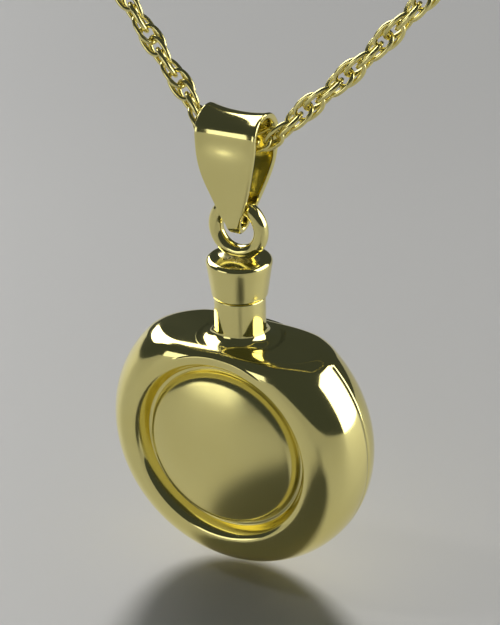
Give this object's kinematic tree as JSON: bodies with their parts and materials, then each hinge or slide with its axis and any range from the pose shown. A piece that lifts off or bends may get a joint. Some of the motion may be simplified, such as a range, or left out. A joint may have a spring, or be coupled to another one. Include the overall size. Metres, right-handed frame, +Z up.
{
  "type": "keepsake urn pendant necklace",
  "caption": "Round hollow flask pendant with domed discs and a screw cap, hanging by a ring and tapered bail from a rope chain.",
  "frame": {"origin": "the point where the barrel clasp lies against the nape of the wearer's neck", "axes": "+Z up as worn, the flask's discs face -Y (away from the wearer) and +Y, X runs across the wearer from side to side"},
  "size_m": [0.1226, 0.1249, 0.1336],
  "materials": {
    "flask_gold": "polished yellow gold, satin on the domed discs",
    "cap_gold": "polished yellow gold",
    "bail_gold": "polished yellow gold",
    "chain_gold": "polished yellow gold"
  },
  "bodies": {
    "root": {"chain": "chain_gold", "clasp": "chain_gold"},
    "bail": {"bail": "bail_gold"},
    "cap": {"screw_cap": "cap_gold"},
    "urn": {"flask": "flask_gold"}
  },
  "joints": [
    {"name": "bail_swing", "type": "hinge", "parent": "root", "child": "bail", "pos_m": [0, -0.118, -0.0996], "axis": [1, 0, 0], "range_deg": [-60, 60]},
    {"name": "pendant_swing", "type": "hinge", "parent": "bail", "child": "cap", "pos_m": [0, -0.118, -0.10484], "axis": [1, 0, 0], "range_deg": [-60, 60]},
    {"name": "urn_turn", "type": "hinge", "parent": "cap", "child": "urn", "pos_m": [0, -0.118, -0.11144], "axis": [0, 0, 1], "continuous": true}
  ]
}
